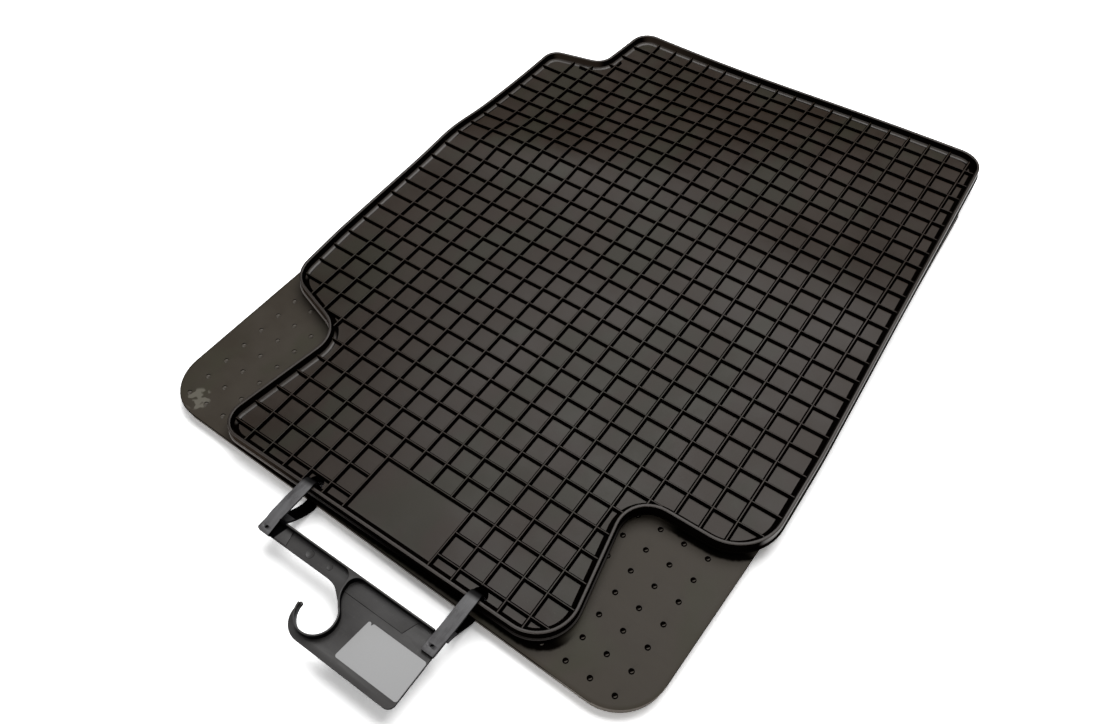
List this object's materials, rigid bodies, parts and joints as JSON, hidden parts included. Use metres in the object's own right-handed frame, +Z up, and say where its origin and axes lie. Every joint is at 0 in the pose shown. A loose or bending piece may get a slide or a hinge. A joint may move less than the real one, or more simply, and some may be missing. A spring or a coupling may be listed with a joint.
{
  "type": "floor mat set",
  "caption": "Pair of ribbed rubber car floor mats with raised rims and bare plaques, back to back on a flat plastic shop hanger with a hook and two strap tongues.",
  "frame": {"origin": "middle of the whole set's box, on the surface that the lower mat's rim rests on", "axes": "+Y from the hanger to the mats' far end, +Z up, +X to the right seen from the hanger's end"},
  "size_m": [0.4874, 0.739, 0.0301],
  "materials": {
    "upper_rubber": "matt, fine moulded grain",
    "lower_rubber": "matt, fine moulded grain, pale scuffs at one corner",
    "hanger_plastic": "satin, injection moulded",
    "tongue_plastic": "satin, injection moulded",
    "label_film": "matt printed film, left bare"
  },
  "bodies": {
    "lower_mat": {"lower_mat": "lower_rubber"},
    "upper_mat": {"upper_mat": "upper_rubber"},
    "hanger": {"hanger": "hanger_plastic", "left_tongue_root": "hanger_plastic", "right_tongue_root": "hanger_plastic", "label": "label_film"},
    "left_tongue": {"left_tongue_end": "tongue_plastic"},
    "right_tongue": {"right_tongue_end": "tongue_plastic"}
  },
  "joints": [
    {"name": "hanger_swing", "type": "hinge", "parent": "lower_mat", "child": "hanger", "pos_m": [0, -0.27795, 0.013], "axis": [-1, 0, 0], "range_deg": [-10, 15]},
    {"name": "upper_mat_lift", "type": "hinge", "parent": "lower_mat", "child": "upper_mat", "pos_m": [0, -0.27945, 0.0145], "axis": [1, 0, 0], "range_deg": [0, 30]},
    {"name": "left_tongue_open", "type": "hinge", "parent": "hanger", "child": "left_tongue", "pos_m": [-0.06989, -0.26895, 0.0283], "axis": [-1, 0, 0], "range_deg": [0, 60]},
    {"name": "right_tongue_open", "type": "hinge", "parent": "hanger", "child": "right_tongue", "pos_m": [0.08861, -0.26895, 0.0283], "axis": [-1, 0, 0], "range_deg": [0, 60]}
  ]
}
